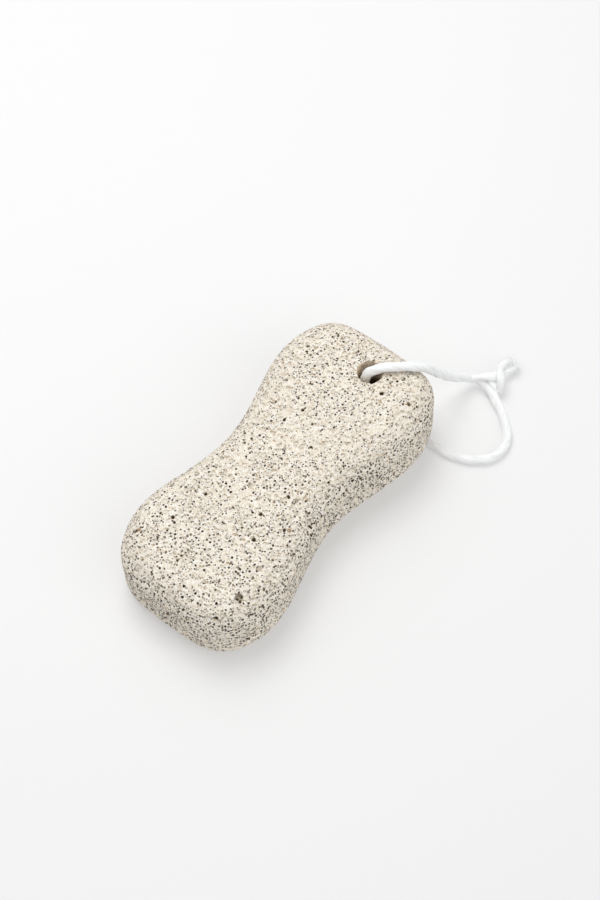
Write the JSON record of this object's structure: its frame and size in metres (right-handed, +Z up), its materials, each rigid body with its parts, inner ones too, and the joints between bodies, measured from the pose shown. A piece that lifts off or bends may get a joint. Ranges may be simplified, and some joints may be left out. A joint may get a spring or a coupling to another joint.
{
  "type": "pumice stone",
  "caption": "Waisted pumice foot stone with rounded edges and open pores, drilled near one end for a knotted cotton hanging cord.",
  "frame": {"origin": "on the floor, under the middle of the stone's box, the cord left out", "axes": "+X along the stone towards its drilled end, +Z up, +Y across the stone"},
  "size_m": [0.1244, 0.0625, 0.0287],
  "materials": {
    "pumice": "dry open-pored volcanic rock, cream grey, with no gloss",
    "cotton": "white twisted cotton cord, matt and slightly fuzzy"
  },
  "bodies": {
    "root": {"pumice_stone": "pumice", "cord_loop": "cotton", "cord_knot": "cotton"}
  },
  "joints": []
}
